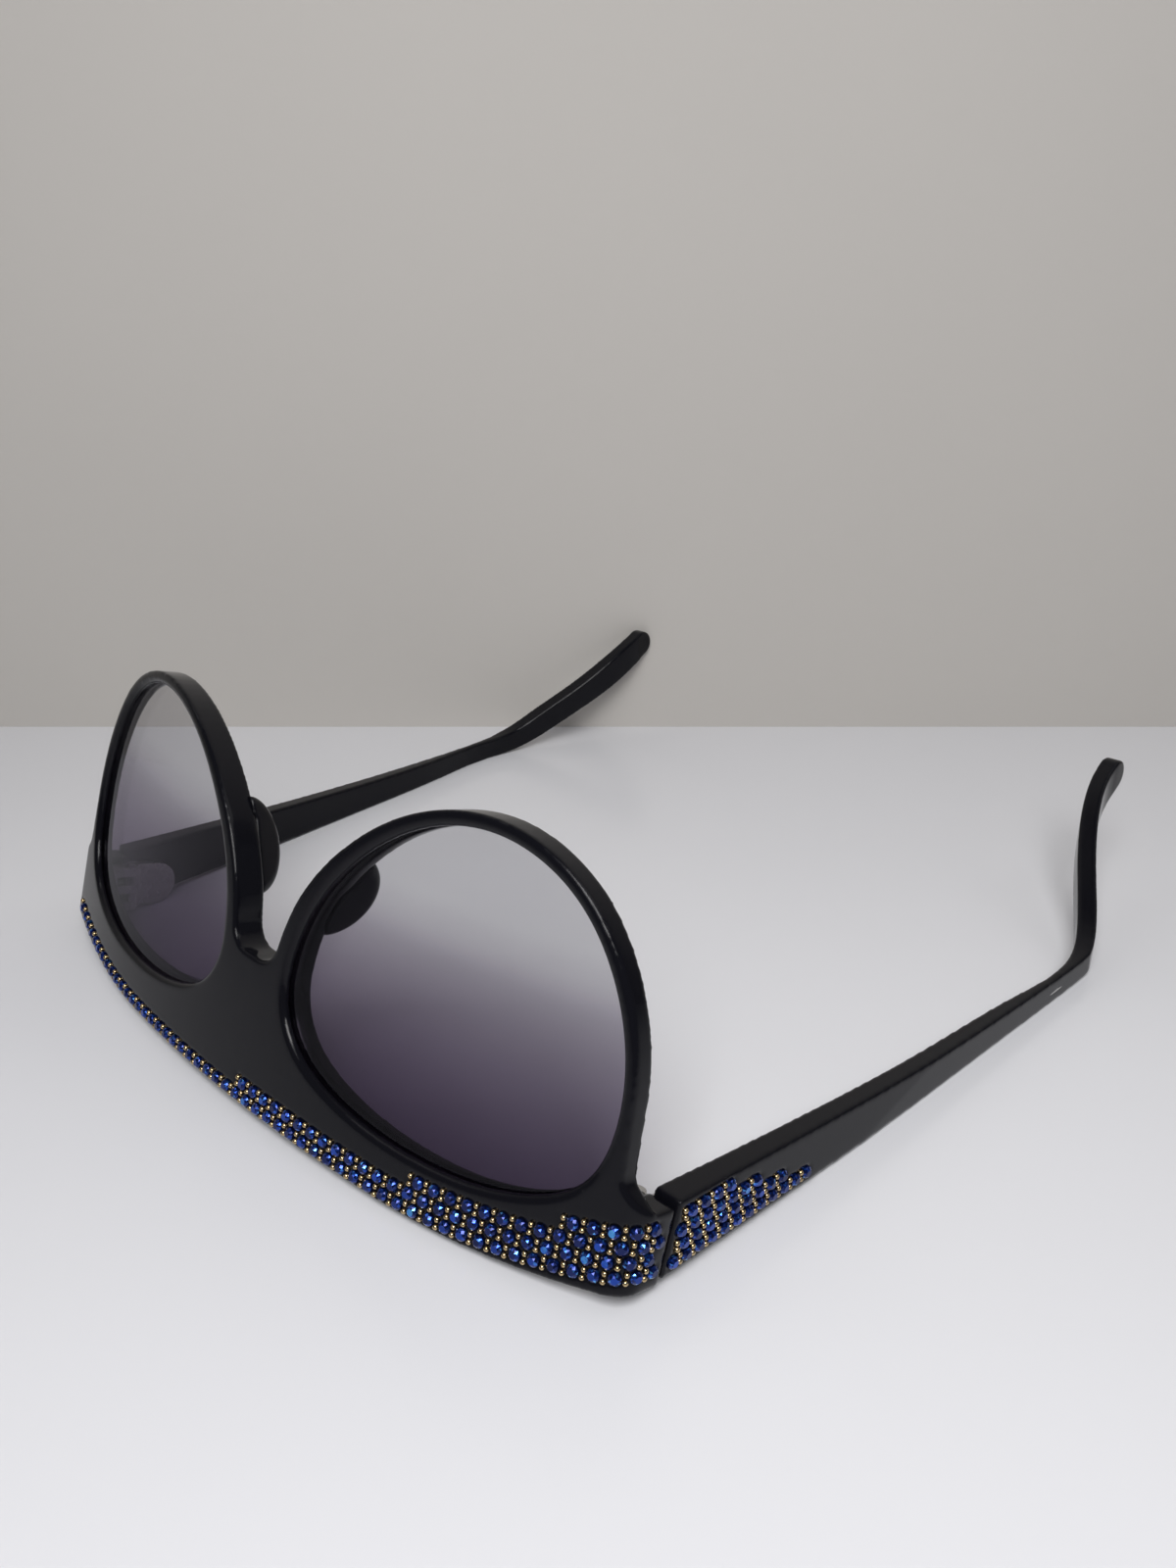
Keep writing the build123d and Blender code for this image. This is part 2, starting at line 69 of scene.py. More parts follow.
EYE = Vector((0.13957, -0.14688, 0.11389))
CAMERA_PITCH = math.radians(23.48)
FOCAL_LENGTH = 29.35
SENSOR_HEIGHT = 36.0
LIGHT_TARGET = Vector((0.03, -0.02, 0.0))
LIGHTS = (
    ("key", (0.30, -0.42, 0.62), 0.42, 1.5),
    ("fill", (-0.42, -0.10, 0.55), 0.40, 0.8),
    ("rim", (0.30, 0.24, 0.50), 0.30, 0.25),
    ("near", (0.19, -0.20, 0.27), 0.16, 0.84),
)
SKY_COLOUR = (0.93, 0.95, 1.0, 1.0)
SKY_STRENGTH = 0.13


# Node trees


class Wire:
    """An output socket that takes part in Python arithmetic."""

    def __init__(self, tree, socket):
        self.tree = tree
        self.socket = socket

    def calculate(self, operation, first, second, clamp=False):
        settings = {"operation": operation, "use_clamp": clamp}
        return self.tree.add("ShaderNodeMath", settings, {0: first, 1: second})

    def __add__(self, other):
        return self.calculate("ADD", self, other)

    def __radd__(self, other):
        return self.calculate("ADD", other, self)

    def __sub__(self, other):
        return self.calculate("SUBTRACT", self, other)

    def __rsub__(self, other):
        return self.calculate("SUBTRACT", other, self)

    def __mul__(self, other):
        return self.calculate("MULTIPLY", self, other)

    def __rmul__(self, other):
        return self.calculate("MULTIPLY", other, self)

    def __truediv__(self, other):
        return self.calculate("DIVIDE", self, other)

    def __rtruediv__(self, other):
        return self.calculate("DIVIDE", other, self)

    def __pow__(self, other):
        return self.calculate("POWER", self, other)

    def clamped(self):
        return self.calculate("ADD", self, 0.0, clamp=True)


class NodeTree:
    """Adds nodes to a material's tree or to a Geometry Nodes tree."""

    def __init__(self, tree):
        self.tree = tree

    def add(self, kind, settings=None, inputs=None, output=0):
        """Add a node, set it up, feed its sockets and hand back one of its outputs."""
        node = self.tree.nodes.new(kind)
        for name, value in (settings or {}).items():
            if name == "stops":
                self.set_stops(node.color_ramp, value)
            else:
                setattr(node, name, value)
        for key, value in (inputs or {}).items():
            self.feed(node.inputs[key], value)
        return Wire(self, node.outputs[output]) if node.outputs else None

    def set_stops(self, ramp, stops):
        while len(ramp.elements) < len(stops):
            ramp.elements.new(0.5)
        for element, (position, colour) in zip(ramp.elements, stops):
            element.position = position
            element.color = colour

    def feed(self, socket, value):
        if isinstance(value, (list, tuple)) and value and isinstance(value[0], Wire):
            for wire in value:
                self.tree.links.new(wire.socket, socket)
        elif isinstance(value, Wire):
            self.tree.links.new(value.socket, socket)
        else:
            socket.default_value = value


def new_material(name):
    material = bpy.data.materials.new(name)
    material.use_nodes = True
    material.node_tree.nodes.clear()
    return material, NodeTree(material.node_tree)


def close_material(tree, surface):
    tree.add("ShaderNodeOutputMaterial", inputs={"Surface": surface})


def object_place(tree, scale=(1.0, 1.0, 1.0), turn=(0.0, 0.0, 0.0)):
    place = tree.add("ShaderNodeTexCoord", output="Object")
    return tree.add("ShaderNodeMapping", inputs={"Vector": place, "Scale": scale, "Rotation": turn})


def noise(tree, place, scale, detail=3.0, roughness=0.5):
    return tree.add(
        "ShaderNodeTexNoise",
        inputs={"Vector": place, "Scale": scale, "Detail": detail, "Roughness": roughness},
    )


def ramp(tree, value, stops):
    return tree.add("ShaderNodeValToRGB", {"stops": stops}, {"Fac": value})


def grey(level):
    return (level, level, level, 1.0)


def blend_colours(tree, factor, first, second):
    return tree.add(
        "ShaderNodeMix", {"data_type": "RGBA"}, {"Factor": factor, 6: first, 7: second}, output=2
    )


def rounded_normal(tree, radius, height, strength, distance):
    """A normal that rounds sharp edges, with a fine surface relief over it."""
    edge = tree.add("ShaderNodeBevel", {"samples": 6}, {"Radius": radius})
    return tree.add(
        "ShaderNodeBump",
        inputs={"Height": height, "Strength": strength, "Distance": distance, "Normal": edge},
    )


# Finishes


def polished_acetate(name, colour, edge_radius, gloss):
    """Black acetate: a deep gloss with faint wipe marks, hairlines and a soft orange peel."""
    material, tree = new_material(name)
    place = object_place(tree)
    smears = noise(tree, place, 90.0, 4.0, 0.62)
    wiped = ramp(tree, smears, [(0.42, grey(0.0)), (0.72, grey(1.0))])
    along = object_place(tree, (2600.0, 60.0, 900.0), (0.3, 0.2, 0.5))
    hairlines = ramp(tree, noise(tree, along, 1.0, 2.0), [(0.60, grey(0.0)), (0.66, grey(1.0))])
    peel = noise(tree, place, 420.0, 2.0, 0.4)
    height = peel * 0.35 + hairlines * 0.08
    roughness = gloss + wiped * 0.07 + hairlines * 0.05
    dust = noise(tree, place, 1500.0, 5.0, 0.7)
    specks = ramp(tree, dust, [(0.70, grey(0.0)), (0.78, grey(1.0))])
    tint = blend_colours(tree, specks * 0.1, colour, (0.05, 0.05, 0.055, 1.0))
    surface = tree.add(
        "ShaderNodeBsdfPrincipled",
        inputs={
            "Base Color": tint,
            "Roughness": roughness,
            "IOR": 1.42,
            "Specular IOR Level": 0.2,
            "Coat Weight": 0.08,
            "Coat Roughness": 0.04,
            "Normal": rounded_normal(tree, edge_radius, height, 0.12, 0.00006),
        },
    )
    close_material(tree, surface)
    return material


def graded_lens(name, dark, clear, low, high):
    """A tint that fades from the brow to the cheek, with a thin clear gloss."""
    material, tree = new_material(name)
    place = tree.add("ShaderNodeTexCoord", output="Object")
    height = tree.add("ShaderNodeSeparateXYZ", inputs={"Vector": place}, output="Z")
    share = ((height - low) / (high - low)).clamped()
    depth = ramp(
        tree, share,
        [(0.05, grey(1.0)), (0.2, grey(0.86)), (0.33, grey(0.75)), (0.455, grey(0.60)),
         (0.58, grey(0.41)), (0.66, grey(0.17)), (0.75, grey(0.04)), (1.0, grey(0.0))],
    )
    cloud = noise(tree, object_place(tree), 55.0, 2.0)
    depth = (depth + (cloud - 0.5) * 0.03).clamped()
    pale = tree.add("ShaderNodeBsdfTransparent", inputs={"Color": clear})
    deep = tree.add("ShaderNodeBsdfTransparent", inputs={"Color": dark})
    body = tree.add("ShaderNodeMixShader", inputs={0: depth, 1: pale, 2: deep})
    sheen = noise(tree, object_place(tree), 160.0, 3.0)
    gloss = tree.add(
        "ShaderNodeBsdfPrincipled",
        inputs={
            "Base Color": (0.55, 0.55, 0.60, 1.0),
            "Metallic": 1.0,
            "Roughness": 0.03 + sheen * 0.05,
        },
    )
    facing = tree.add("ShaderNodeLayerWeight", inputs={"Blend": 0.5}, output="Facing")
    reflected = facing ** 5.0 * 0.8 + 0.025
    surface = tree.add("ShaderNodeMixShader", inputs={0: reflected, 1: body, 2: gloss})
    close_material(tree, surface)
    return material


def brushed_steel(name, colour, edge_radius):
    """Satin steel with a fine brushed grain."""
    material, tree = new_material(name)
    grain = noise(tree, object_place(tree, (4000.0, 260.0, 260.0)), 1.0, 4.0, 0.7)
    cloud = noise(tree, object_place(tree), 600.0, 3.0)
    tint = blend_colours(tree, cloud, colour, (0.40, 0.39, 0.38, 1.0))
    surface = tree.add(
        "ShaderNodeBsdfPrincipled",
        inputs={
            "Base Color": tint,
            "Metallic": 1.0,
            "Roughness": 0.2 + grain * 0.16,
            "Normal": rounded_normal(tree, edge_radius, grain, 0.2, 0.00002),
        },
    )
    close_material(tree, surface)
    return material


def cut_crystal(name, deep, bright):
    """Foil-backed crystal under a hard clear gloss: a random level on each facet picks its colour from
    a deep blue up to a lit blue and a near white, which is painted shade and painted glint.
    """
    material, tree = new_material(name)
    glint_level = tree.add("ShaderNodeAttribute", {"attribute_name": FACET_GLINT}, output="Fac")
    cloud = noise(tree, object_place(tree), 2400.0, 2.0)
    glint_step = (glint_level * 0.85 + cloud * 0.15).clamped()
    # The ramp paints the facets' light: darker facets are painted shade, and the lit blue, brighter
    # blue and near-white stops are painted highlights on the crystal's blue.
    shade = ramp(
        tree, glint_step,
        [(0.0, deep), (0.5, (deep[0] * 2.2, deep[1] * 2.2, deep[2] * 2.0, 1.0)),
         (0.86, bright), (0.95, (0.10, 0.42, 0.85, 1.0)), (1.0, (0.75, 0.90, 1.0, 1.0))],
    )
    surface = tree.add(
        "ShaderNodeBsdfPrincipled",
        inputs={
            "Base Color": shade,
            "Metallic": 0.8,
            "Roughness": 0.05 + cloud * 0.06,
            "IOR": 1.5,
            "Coat Weight": 0.35,
            "Coat Roughness": 0.02,
        },
    )
    close_material(tree, surface)
    return material


def gilt(name, colour):
    """Polished gold plate with a little tarnish."""
    material, tree = new_material(name)
    cloud = noise(tree, object_place(tree), 1300.0, 4.0, 0.6)
    tint = blend_colours(tree, cloud, colour, (colour[0] * 0.62, colour[1] * 0.5, colour[2] * 0.4, 1.0))
    surface = tree.add(
        "ShaderNodeBsdfPrincipled",
        inputs={"Base Color": tint, "Metallic": 1.0, "Roughness": 0.14 + cloud * 0.14},
    )
    close_material(tree, surface)
    return material


def plain_board(name, colour, roughness, relief):
    """A pale board with a soft mottle."""
    material, tree = new_material(name)
    place = object_place(tree)
    cloud = noise(tree, place, 14.0, 3.0)
    fine = noise(tree, place, 900.0, 3.0)
    dull = tuple(0.97 * level for level in colour[:3]) + (1.0,)
    surface = tree.add(
        "ShaderNodeBsdfPrincipled",
        inputs={
            "Base Color": blend_colours(tree, cloud, colour, dull),
            "Roughness": roughness + fine * 0.06,
            "Normal": tree.add(
                "ShaderNodeBump", inputs={"Height": fine, "Strength": relief, "Distance": 0.00005}
            ),
        },
    )
    close_material(tree, surface)
    return material


# Meshes


def join_node_meshes(names):
    """One mesh from CAD nodes, with its doubles merged."""
    mesh = bpy.data.meshes.new(names[0])
    shape = bmesh.new()
    for name in names:
        shape.from_mesh(cad_nodes[name].data)
    bmesh.ops.remove_doubles(shape, verts=shape.verts, dist=MERGE_DISTANCE)
    shape.to_mesh(mesh)
    shape.free()
    return mesh


def smooth_by_angle(mesh, limit):
    """Shade smooth, with a crease wherever two faces meet more sharply than the limit."""
    shape = bmesh.new()
    shape.from_mesh(mesh)
    for face in shape.faces:
        face.smooth = True
    for edge in shape.edges:
        edge.smooth = len(edge.link_faces) == 2 and edge.calc_face_angle(0.0) < limit
    shape.to_mesh(mesh)
    shape.free()


def polish(mesh, voxel, passes):
    """Remesh a closed mesh evenly and smooth it, as tumbling rounds the edges of cut acetate."""
    helper = bpy.data.objects.new("tumbled", mesh)
    bpy.context.scene.collection.objects.link(helper)
    remesh = helper.modifiers.new("even", "REMESH")
    remesh.mode = "VOXEL"
    remesh.voxel_size = voxel
    smooth = helper.modifiers.new("smooth", "SMOOTH")
    smooth.factor = 0.5
    smooth.iterations = passes
    thin = helper.modifiers.new("thin", "DECIMATE")
    thin.ratio = KEPT_SHARE
    depsgraph = bpy.context.evaluated_depsgraph_get()
    polished = bpy.data.meshes.new_from_object(helper.evaluated_get(depsgraph))
    bpy.data.objects.remove(helper)
    polished.shade_smooth()
    return polished


def new_piece(name, mesh, material):
    piece = bpy.data.objects.new(name, mesh)
    bpy.context.scene.collection.objects.link(piece)
    mesh.materials.clear()
    mesh.materials.append(material)
    return piece


def dress(name, node, body, material, voxel=0.0, passes=0):
    """A finished piece that stands for a CAD node; it is polished where a voxel size is given."""
    mesh = join_node_meshes([node])
    if voxel:
        mesh = polish(mesh, voxel, passes)
    else:
        smooth_by_angle(mesh, CREASE_ANGLE)
    piece = new_piece(name, mesh, material)
    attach(piece, body)
    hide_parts(node)
    return piece


def seat_planes(names):
    """Foot and facing of every loose solid in some CAD nodes, from its flat round foot."""
    feet = []
    facings = []
    for name in names:
        shape = bmesh.new()
        shape.from_mesh(cad_nodes[name].data)
        bmesh.ops.remove_doubles(shape, verts=shape.verts, dist=MERGE_DISTANCE)
        shape.faces.ensure_lookup_table()
        seen = set()
        for start in shape.faces:
            if start in seen:
                continue
            seen.add(start)
            island = [start]
            for face in island:
                for edge in face.edges:
                    for other in edge.link_faces:
                        if other not in seen:
                            seen.add(other)
                            island.append(other)
            groups = {}
            for face in island:
                key = tuple(round(part, 2) for part in face.normal)
                groups.setdefault(key, []).append(face)
            foot = max(groups.values(), key=lambda faces: sum(f.calc_area() for f in faces))
            area = sum(f.calc_area() for f in foot)
            centre = Vector()
            normal = Vector()
            for face in foot:
                centre += face.calc_center_median() * (face.calc_area() / area)
                normal += face.normal * (face.calc_area() / area)
            feet.append(tuple(centre))
            facings.append(tuple(-normal.normalized()))
        shape.free()
    return feet, facings


def seat_cloud(name, names):
    """A helper mesh with one point on each seat, which says which way the seat faces."""
    feet, facings = seat_planes(names)
    mesh = bpy.data.meshes.new(name)
    mesh.from_pydata(feet, [], [])
    facing = mesh.attributes.new(FACING, "FLOAT_VECTOR", "POINT")
    facing.data.foreach_set("vector", np.array(facings, np.float32).ravel())
    return mesh


# Geometry Nodes


def new_geometry_tree(name, sizes):
    """A Geometry Nodes group with its geometry sockets and named inputs."""
    group = bpy.data.node_groups.new(name, "GeometryNodeTree")
    face = group.interface
    face.new_socket("Geometry", in_out="INPUT", socket_type="NodeSocketGeometry")
    for label, kind in sizes:
        face.new_socket(label, in_out="INPUT", socket_type=kind)
    face.new_socket("Geometry", in_out="OUTPUT", socket_type="NodeSocketGeometry")
    tree = NodeTree(group)
    entry = group.nodes.new("NodeGroupInput")
    wires = {socket.name: Wire(tree, socket) for socket in entry.outputs if socket.name}
    return group, tree, wires


def ring(tree, radius, count, height, turn):
    """A ring of points at a height, turned about the axis."""
    circle = tree.add("GeometryNodeMeshCircle", inputs={"Vertices": count, "Radius": radius})
    lift = tree.add("ShaderNodeCombineXYZ", inputs={"Z": height})
    spin = tree.add("ShaderNodeCombineXYZ", inputs={"Z": turn})
    return tree.add(
        "GeometryNodeTransform",
        inputs={"Geometry": circle, "Translation": lift, "Rotation": spin},
    )


def set_out(tree, points, shape, seed, tilt):
    """One copy of a shape on each seat, with its own turn and a slight tilt."""
    facing = tree.add(
        "GeometryNodeInputNamedAttribute", {"data_type": "FLOAT_VECTOR"}, {"Name": FACING}
    )
    aligned = tree.add("FunctionNodeAlignRotationToVector", {"axis": "Z"}, {"Vector": facing})
    chance = tree.add(
        "FunctionNodeRandomValue",
        {"data_type": "FLOAT_VECTOR"},
        {"Min": (-tilt, -tilt, 0.0), "Max": (tilt, tilt, 1.0), "Seed": seed},
    )
    own = tree.add("FunctionNodeEulerToRotation", inputs={"Euler": chance})
    turned = tree.add(
        "FunctionNodeRotateRotation",
        {"rotation_space": "LOCAL"},
        {"Rotation": aligned, "Rotate By": own},
    )
    copies = tree.add(
        "GeometryNodeInstanceOnPoints",
        inputs={"Points": points, "Instance": shape, "Rotation": turned},
    )
    return tree.add("GeometryNodeRealizeInstances", inputs={"Geometry": copies})


def crystal_tree():
    """Round crystals: a table, star and crown facets, a girdle and a straight seat."""
    group, tree, size = new_geometry_tree(
        "set_crystals",
        [("Radius", "NodeSocketFloat"), ("Table Radius", "NodeSocketFloat"),
         ("Height", "NodeSocketFloat"), ("Depth", "NodeSocketFloat"),
         ("Facets", "NodeSocketInt"), ("Seed", "NodeSocketInt"),
         ("Material", "NodeSocketMaterial")],
    )
    count = size["Facets"]
    half_turn = math.pi / count
    rise = size["Height"]
    foot = size["Depth"]
    rings = [
        ring(tree, size["Table Radius"], count, foot + rise, 0.0),
        ring(tree, size["Radius"] * 0.8, count, foot + rise * 0.66, half_turn),
        ring(tree, size["Radius"] * 0.98, count, foot + rise * 0.32, 0.0),
        ring(tree, size["Radius"] * 0.98, count, foot + rise * 0.28, half_turn),
        ring(tree, size["Radius"] * 0.98, count, foot * 0.5, 0.0),
        ring(tree, size["Radius"] * 0.6, count, 0.00002, half_turn),
    ]
    joined = tree.add("GeometryNodeJoinGeometry", inputs={"Geometry": rings})
    gem = tree.add("GeometryNodeConvexHull", inputs={"Geometry": joined})
    stones = set_out(tree, size["Geometry"], gem, size["Seed"], 0.05)
    # A random level on every facet, by which the crystal material paints shade and glints.
    glint_level = tree.add(
        "FunctionNodeRandomValue", {"data_type": "FLOAT"},
        {"Min": 0.0, "Max": 1.0, "Seed": size["Seed"]}, output=1,
    )
    toned = tree.add(
        "GeometryNodeStoreNamedAttribute",
        {"data_type": "FLOAT", "domain": "FACE"},
        {"Geometry": stones, "Name": FACET_GLINT, "Value": glint_level},
    )
    flat = tree.add(
        "GeometryNodeSetShadeSmooth", inputs={"Geometry": toned, "Shade Smooth": False}
    )
    done = tree.add(
        "GeometryNodeSetMaterial", inputs={"Geometry": flat, "Material": size["Material"]}
    )
    tree.add("NodeGroupOutput", inputs={"Geometry": done})
    return group


def stud_tree():
    """Ball-headed pins, each a round shank under a domed head."""
    group, tree, size = new_geometry_tree(
        "set_studs",
        [("Radius", "NodeSocketFloat"), ("Depth", "NodeSocketFloat"),
         ("Seed", "NodeSocketInt"), ("Material", "NodeSocketMaterial")],
    )
    half_turn = math.pi / STUD_SIDES
    foot = size["Depth"]
    radius = size["Radius"]
    levels = [
        (0.96, -0.9, 0.0), (0.99, 0.02, half_turn), (0.95, 0.28, 0.0), (0.82, 0.56, half_turn),
        (0.55, 0.82, 0.0), (0.2, 0.97, half_turn),
    ]
    rings = [
        ring(tree, radius * share, STUD_SIDES, foot + radius * height, turn)
        for share, height, turn in levels
    ]
    joined = tree.add("GeometryNodeJoinGeometry", inputs={"Geometry": rings})
    pin = tree.add("GeometryNodeConvexHull", inputs={"Geometry": joined})
    pins = set_out(tree, size["Geometry"], pin, size["Seed"], 0.08)
    smooth = tree.add(
        "GeometryNodeSetShadeSmooth", inputs={"Geometry": pins, "Shade Smooth": True}
    )
    done = tree.add(
        "GeometryNodeSetMaterial", inputs={"Geometry": smooth, "Material": size["Material"]}
    )
    tree.add("NodeGroupOutput", inputs={"Geometry": done})
    return group


def grown(name, seats, group, values, material):
    """A plain mesh piece from a Geometry Nodes group run over a cloud of seats."""
    helper = bpy.data.objects.new(name + "_seats", seats)
    bpy.context.scene.collection.objects.link(helper)
    modifier = helper.modifiers.new(name, "NODES")
    modifier.node_group = group
    for item in group.interface.items_tree:
        if item.item_type == "SOCKET" and item.in_out == "INPUT" and item.name in values:
            modifier[item.identifier] = values[item.name]
        elif item.item_type == "SOCKET" and item.name == "Material":
            modifier[item.identifier] = material
    depsgraph = bpy.context.evaluated_depsgraph_get()
    mesh = bpy.data.meshes.new_from_object(helper.evaluated_get(depsgraph))
    mesh.name = name
    helper.modifiers.remove(modifier)
    bpy.data.objects.remove(helper)
    if not mesh.polygons:
        raise RuntimeError(name + " came out empty")
    return new_piece(name, mesh, material)


# Stage


def board(name, corners):
    """A flat sheet from its four corners."""
    mesh = bpy.data.meshes.new(name)
    mesh.from_pydata([tuple(corner) for corner in corners], [], [(0, 1, 2, 3)])
    piece = bpy.data.objects.new(name, mesh)
    bpy.context.scene.collection.objects.link(piece)
    return piece


def softbox(name, place, size, power):
    """A square lamp that faces the glasses."""
    light = bpy.data.lights.new(name, "AREA")
    light.shape = "SQUARE"
    light.size = size
    light.energy = power
    lamp = bpy.data.objects.new(name, light)
    lamp.location = place
    aim = LIGHT_TARGET - Vector(place)
    lamp.rotation_euler = aim.to_track_quat("-Z", "Y").to_euler()
    bpy.context.scene.collection.objects.link(lamp)


# Settings


class AcetateSettings(bpy.types.PropertyGroup):
    colour: bpy.props.FloatVectorProperty(
        name="Colour", description="Colour of the acetate", subtype="COLOR", size=4,
        default=(0.004, 0.004, 0.006, 1.0), min=0.0, max=1.0,
    )
    edge_radius: bpy.props.FloatProperty(
        name="Edge Radius", description="How soft the polished edges look", unit="LENGTH",
        default=0.0006, min=0.0, max=0.003,
    )
    voxel: bpy.props.FloatProperty(
        name="Voxel Size", description="Mesh size of the polished pieces", unit="LENGTH",
        default=0.00018, min=0.0001, max=0.002,
    )
    polish_passes: bpy.props.IntProperty(
        name="Polish Passes", description="How much the edges are rounded", default=22, min=1,
    )
    gloss: bpy.props.FloatProperty(
        name="Roughness", description="Roughness of the cleanest parts", subtype="FACTOR",
        default=0.07, min=0.0, max=1.0,
    )


class LensSettings(bpy.types.PropertyGroup):
    dark: bpy.props.FloatVectorProperty(
        name="Brow Tint", description="What the lens lets through at the brow", subtype="COLOR",
        size=4, default=(0.345, 0.30, 0.385, 1.0), min=0.0, max=1.0,
    )
    clear: bpy.props.FloatVectorProperty(
        name="Cheek Tint", description="What the lens lets through at the cheek",
        subtype="COLOR", size=4, default=(0.86, 0.86, 0.87, 1.0), min=0.0, max=1.0,
    )


class MetalSettings(bpy.types.PropertyGroup):
    colour: bpy.props.FloatVectorProperty(
        name="Colour", description="Colour of the hinges and screws", subtype="COLOR", size=4,
        default=(0.62, 0.61, 0.60, 1.0), min=0.0, max=1.0,
    )
    edge_radius: bpy.props.FloatProperty(
        name="Edge Radius", description="How soft the metal edges look", unit="LENGTH",
        default=0.00015, min=0.0, max=0.001,
    )


class CrystalSettings(bpy.types.PropertyGroup):
    radius: bpy.props.FloatProperty(
        name="Radius", description="Girdle radius of a crystal", unit="LENGTH",
        default=0.00085, min=0.0002, max=0.003,
    )
    table_radius: bpy.props.FloatProperty(
        name="Table Radius", description="Radius of the flat top facet", unit="LENGTH",
        default=0.00046, min=0.0001, max=0.003,
    )
    height: bpy.props.FloatProperty(
        name="Height", description="Height above the surface", unit="LENGTH",
        default=0.00055, min=0.0001, max=0.003,
    )
    depth: bpy.props.FloatProperty(
        name="Depth", description="Depth of the seat", unit="LENGTH",
        default=0.0004, min=0.0001, max=0.003,
    )
    facets: bpy.props.IntProperty(
        name="Facets", description="Facets round the crown", default=8, min=5, max=16,
    )
    seed: bpy.props.IntProperty(
        name="Seed", description="Changes how the crystals are turned", default=7, min=0,
    )
    # The spread of the facets from the deep colour to the bright colour is painted shade and painted
    # highlight.
    deep: bpy.props.FloatVectorProperty(
        name="Deep Colour", description="Tone of the darkest facets", subtype="COLOR", size=4,
        default=(0.002, 0.007, 0.06, 1.0), min=0.0, max=1.0,
    )
    bright: bpy.props.FloatVectorProperty(
        name="Bright Colour", description="Tone of the lit facets", subtype="COLOR", size=4,
        default=(0.012, 0.07, 0.46, 1.0), min=0.0, max=1.0,
    )


class StudSettings(bpy.types.PropertyGroup):
    radius: bpy.props.FloatProperty(
        name="Radius", description="Radius of a stud's ball head", unit="LENGTH",
        default=0.0004, min=0.0001, max=0.002,
    )
    depth: bpy.props.FloatProperty(
        name="Depth", description="Depth of the pin below the surface", unit="LENGTH",
        default=0.0004, min=0.0001, max=0.002,
    )
    colour: bpy.props.FloatVectorProperty(
        name="Colour", description="Colour of the gilding", subtype="COLOR", size=4,
        default=(0.62, 0.50, 0.29, 1.0), min=0.0, max=1.0,
    )


class StageSettings(bpy.types.PropertyGroup):
    table_colour: bpy.props.FloatVectorProperty(
        name="Table", description="Colour of the table", subtype="COLOR", size=4,
        default=(0.76, 0.76, 0.79, 1.0), min=0.0, max=1.0,
    )
    wall_colour: bpy.props.FloatVectorProperty(
        name="Wall", description="Colour of the wall", subtype="COLOR", size=4,
        default=(0.54, 0.515, 0.485, 1.0), min=0.0, max=1.0,
    )
    heading: bpy.props.FloatProperty(
        name="Heading", description="Turn of the camera about the upright", subtype="ANGLE",
        default=math.radians(44.2),
    )
    wall_distance: bpy.props.FloatProperty(
        name="Wall Distance", description="From below the camera to the wall", unit="LENGTH",
        default=0.298, min=0.05,
    )


# Operators


class SUNGLASSES_OT_acetate(bpy.types.Operator):
    """Finish the front, the nose pads and the temples in black acetate"""

    bl_idname = "sunglasses.acetate"
    bl_label = "Acetate"

    def execute(self, context):
        settings = context.scene.sunglasses_acetate
        material = polished_acetate(
            "black_acetate", tuple(settings.colour), settings.edge_radius, settings.gloss
        )
        voxel = settings.voxel
        passes = settings.polish_passes
        dress("front_rim", "front", "front_body", material, voxel * FRONT_COARSENESS,
              passes)
        for side in ("right", "left"):
            dress(f"temple_arm_{side}", f"temple_{side}", f"{side}_temple", material,
                  voxel, passes)
            dress(f"nose_rest_{side}", f"nose_pad_{side}", "front_body", material,
                  voxel, passes)
        return {"FINISHED"}


class SUNGLASSES_OT_lenses(bpy.types.Operator):
    """Tint the lenses from the brow to the cheek"""

    bl_idname = "sunglasses.lenses"
    bl_label = "Lenses"

    def execute(self, context):
        settings = context.scene.sunglasses_lens
        low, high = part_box("lens_right")
        material = graded_lens(
            "graded_lens", tuple(settings.dark), tuple(settings.clear), low.z, high.z
        )
        for side in ("right", "left"):
            dress(f"tinted_lens_{side}", f"lens_{side}", "front_body", material)
        return {"FINISHED"}


class SUNGLASSES_OT_hinges(bpy.types.Operator):
    """Finish the hinges, their screws and the temples' wire cores in steel"""

    bl_idname = "sunglasses.hinges"
    bl_label = "Hinges"

    def execute(self, context):
        settings = context.scene.sunglasses_metal
        material = brushed_steel("satin_steel", tuple(settings.colour), settings.edge_radius)
        for side in ("right", "left"):
            dress(f"hinge_front_{side}", f"front_hinge_{side}", "front_body", material)
            dress(f"hinge_leaf_{side}", f"temple_hinge_{side}", f"{side}_temple", material)
            dress(f"slotted_screw_{side}", f"hinge_screw_{side}", "front_body", material)
            dress(f"wire_core_{side}", f"temple_core_{side}", f"{side}_temple", material)
        return {"FINISHED"}


class SUNGLASSES_OT_crystals(bpy.types.Operator):
    """Set faceted crystals in the rows of the front and of the right temple"""

    bl_idname = "sunglasses.crystals"
    bl_label = "Crystals"

    def execute(self, context):
        settings = context.scene.sunglasses_crystals
        material = cut_crystal("blue_crystal", tuple(settings.deep), tuple(settings.bright))
        group = crystal_tree()
        values = {
            "Radius": settings.radius,
            "Table Radius": settings.table_radius,
            "Height": settings.height,
            "Depth": settings.depth,
            "Facets": settings.facets,
            "Seed": settings.seed,
        }
        places = (("crystals_front", STONE_ROWS, "front_body"),
                  ("crystals_temple", ("temple_stones",), "right_temple"))
        for name, names, body in places:
            piece = grown(name, seat_cloud(name + "_points", names), group, values, material)
            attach(piece, body)
            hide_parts(*names)
        return {"FINISHED"}


